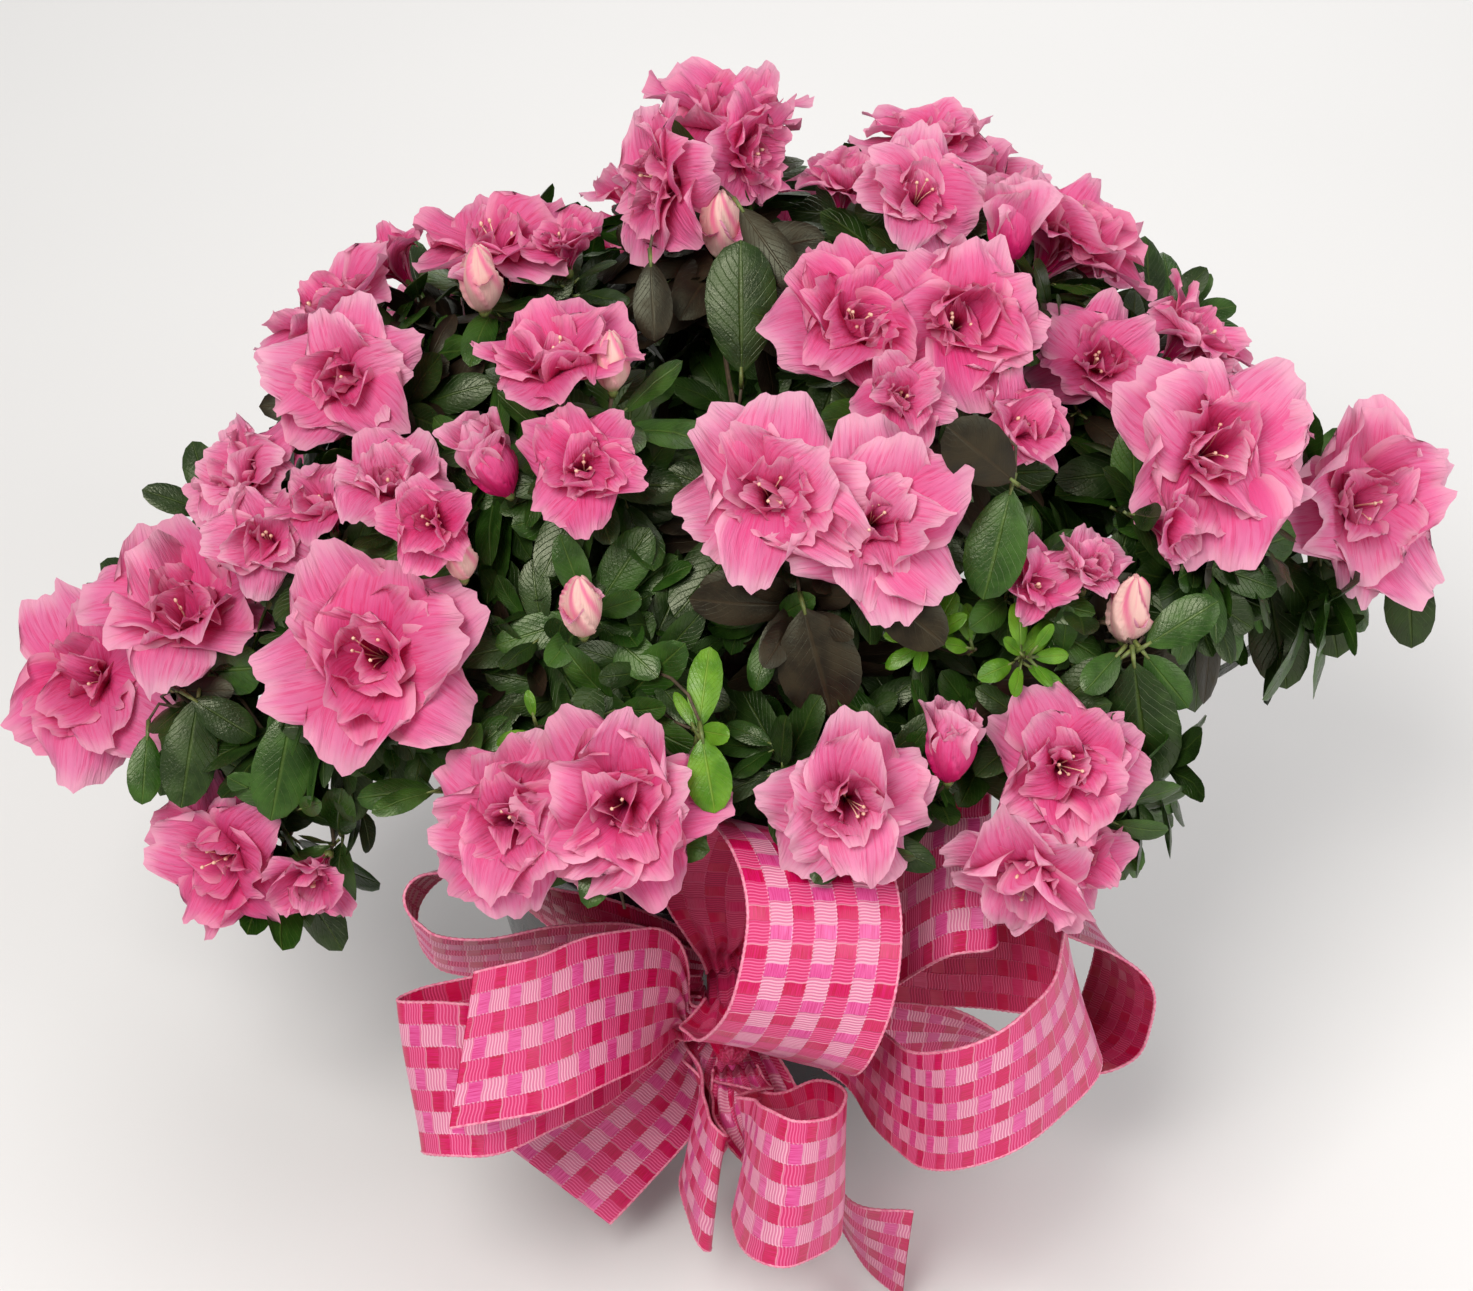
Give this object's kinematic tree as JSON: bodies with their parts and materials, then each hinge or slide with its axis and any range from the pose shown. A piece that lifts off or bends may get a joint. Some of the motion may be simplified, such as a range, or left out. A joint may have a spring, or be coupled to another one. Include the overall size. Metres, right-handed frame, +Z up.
{
  "type": "azalea shrub in a pot",
  "caption": "Potted azalea shrub with a rounded crown of dark leaves and double ruffled blooms, in a round tapered pot with a large ribbon bow tied at its front.",
  "frame": {"origin": "centre of the flat underside of the pot", "axes": "+Z up along the pot's axis; -Y is the front, where the bow is; +X to the right seen from the front"},
  "size_m": [0.3918, 0.3481, 0.2996],
  "materials": {
    "pot": "black, slightly glossy moulded plastic",
    "peat": "moist fibrous peat",
    "bark": "thin brown bark with fine ridges",
    "foliage": "dark green leaves and pink petals",
    "ribbon": "woven satin ribbon in two pinks, with a wired edge"
  },
  "bodies": {
    "root": {"bough_centre": "bark", "bough_centre_left": "bark", "bough_front_left": "bark", "bough_front_right": "bark", "bough_left": "bark", "bough_left_front": "bark", "bough_left_upper": "bark", "bough_rear": "bark", "bough_rear_left": "bark", "bough_rear_right": "bark", "bough_rear_upper": "bark", "bough_right": "bark", "bough_right_upper": "bark", "bough_top": "bark", "foliage_centre": "foliage", "foliage_centre_left": "foliage", "foliage_centre_right": "foliage", "foliage_front_left": "foliage", "foliage_front_mid": "foliage", "foliage_front_right": "foliage", "foliage_heart": "foliage", "foliage_left_far": "foliage", "foliage_left_front": "foliage", "foliage_left_low": "foliage", "foliage_left_mid": "foliage", "foliage_left_upper": "foliage", "foliage_rear": "foliage", "foliage_rear_far_left": "foliage", "foliage_rear_far_right": "foliage", "foliage_rear_left": "foliage", "foliage_rear_left_upper": "foliage", "foliage_rear_right": "foliage", "foliage_rear_right_upper": "foliage", "foliage_rear_side": "foliage", "foliage_rear_upper": "foliage", "foliage_right": "foliage", "foliage_right_far": "foliage", "foliage_right_low": "foliage", "foliage_right_mid": "foliage", "foliage_right_upper": "foliage", "foliage_top": "foliage", "pot": "pot", "ribbon_knot": "ribbon", "ribbon_loop_centre_back": "ribbon", "ribbon_loop_centre_front": "ribbon", "ribbon_loop_front": "ribbon", "ribbon_loop_left": "ribbon", "ribbon_loop_low": "ribbon", "ribbon_loop_right_back": "ribbon", "ribbon_loop_right_front": "ribbon", "ribbon_loop_right_upper": "ribbon", "ribbon_ring_left": "ribbon", "ribbon_ring_right_back": "ribbon", "ribbon_ring_right_front": "ribbon", "ribbon_tail_left": "ribbon", "ribbon_tail_low": "ribbon", "ribbon_tail_small": "ribbon", "soil": "peat", "trunk": "bark"}
  },
  "joints": []
}
